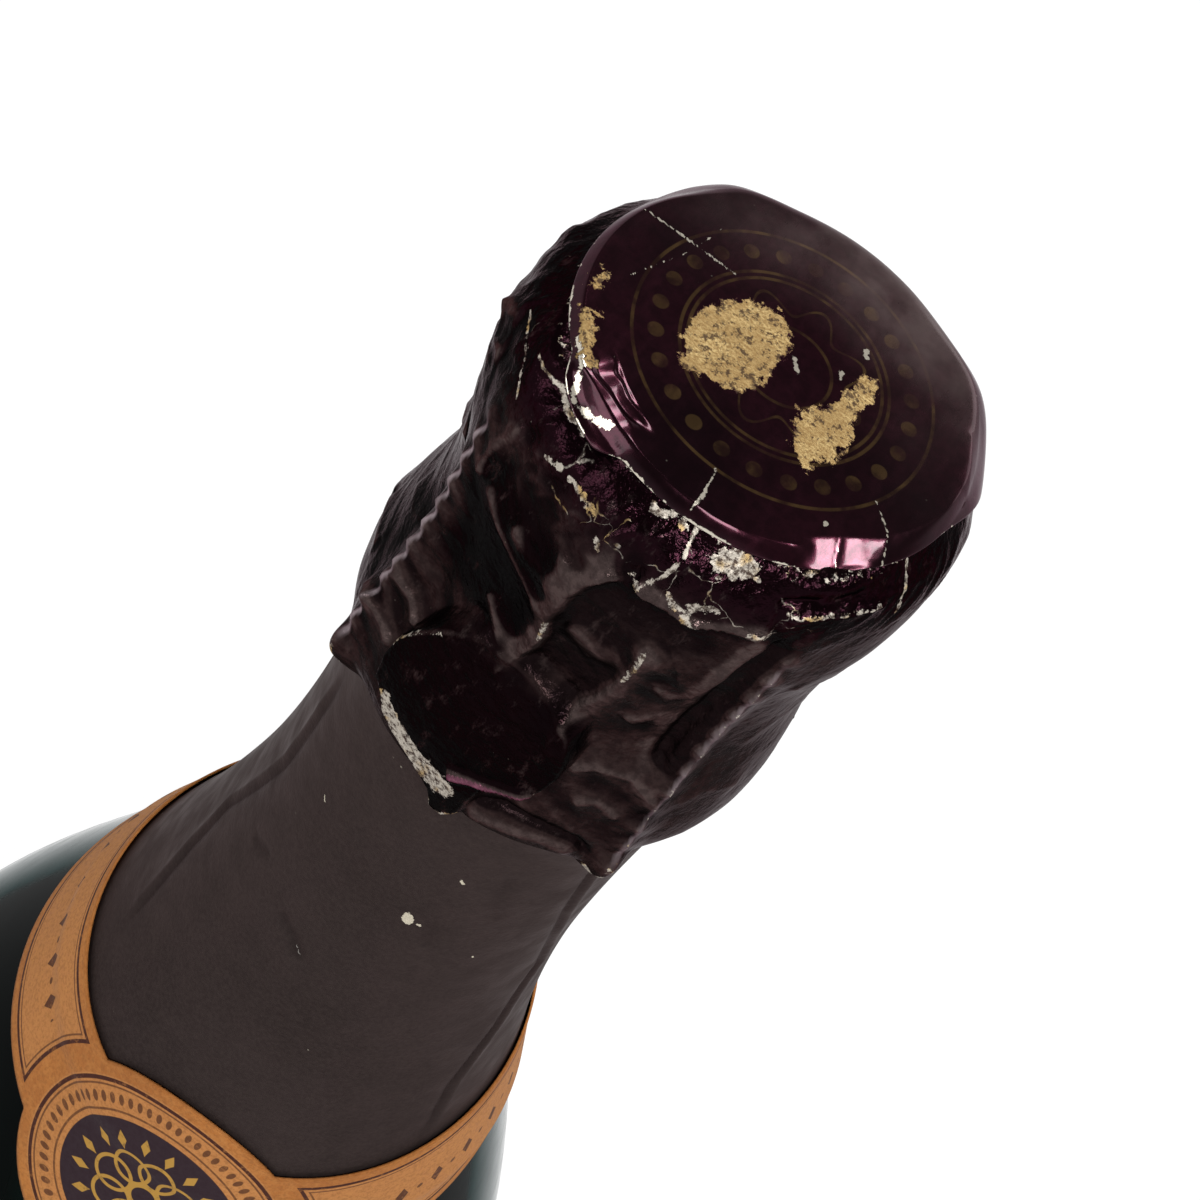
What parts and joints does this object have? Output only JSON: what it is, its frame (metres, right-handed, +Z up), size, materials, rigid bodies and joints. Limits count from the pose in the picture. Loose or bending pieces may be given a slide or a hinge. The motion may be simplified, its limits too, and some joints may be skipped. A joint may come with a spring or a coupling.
{
  "type": "champagne bottle",
  "caption": "Sparkling-wine bottle with punt and long neck, closed by a mushroom cork under a twisted wire cage, foil hood, neck foil and collar label.",
  "frame": {"origin": "centre of the flat ring that the bottle stands on", "axes": "+Z up along the bottle's axis, -Y towards the front with the label's medallion"},
  "size_m": [0.088, 0.088, 0.3244],
  "materials": {
    "dark_glass": "dark blue-green bottle glass, glossy",
    "pressed_cork": "pressed cork granules, matt",
    "natural_cork": "sliced natural cork, matt",
    "cap_plate": "lacquered tinplate",
    "cage_wire": "drawn galvanised wire",
    "hood_foil": "aubergine lacquered foil, creased, glossy, worn at the edges",
    "disc_foil": "aubergine lacquered foil, glossy, with torn pale patches",
    "neck_foil": "brown-grey lacquered foil, satin",
    "label_paper": "uncoated ochre paper with dark printed lines"
  },
  "bodies": {
    "bottle": {"bottle_glass": "dark_glass", "neck_foil": "neck_foil", "collar_label": "label_paper"},
    "cork": {"cork_body": "pressed_cork", "cork_disc_upper": "natural_cork", "cork_disc_lower": "natural_cork"},
    "cage": {"cage_plate": "cap_plate", "cage_frame_wire": "cage_wire", "cage_belt_wire": "cage_wire"},
    "capsule": {"capsule_hood": "hood_foil", "capsule_top_disc": "disc_foil"}
  },
  "joints": [
    {"name": "cork_pull", "type": "slide", "parent": "bottle", "child": "cork", "axis": [0, 0, 1], "range_m": [0, 0.035]},
    {"name": "cage_lift", "type": "slide", "parent": "cork", "child": "cage", "axis": [0, 0, 1], "range_m": [0, 0.045], "deforming": ["cage_belt_wire"]},
    {"name": "capsule_lift", "type": "slide", "parent": "cage", "child": "capsule", "axis": [0, 0, 1], "range_m": [0, 0.045]}
  ]
}
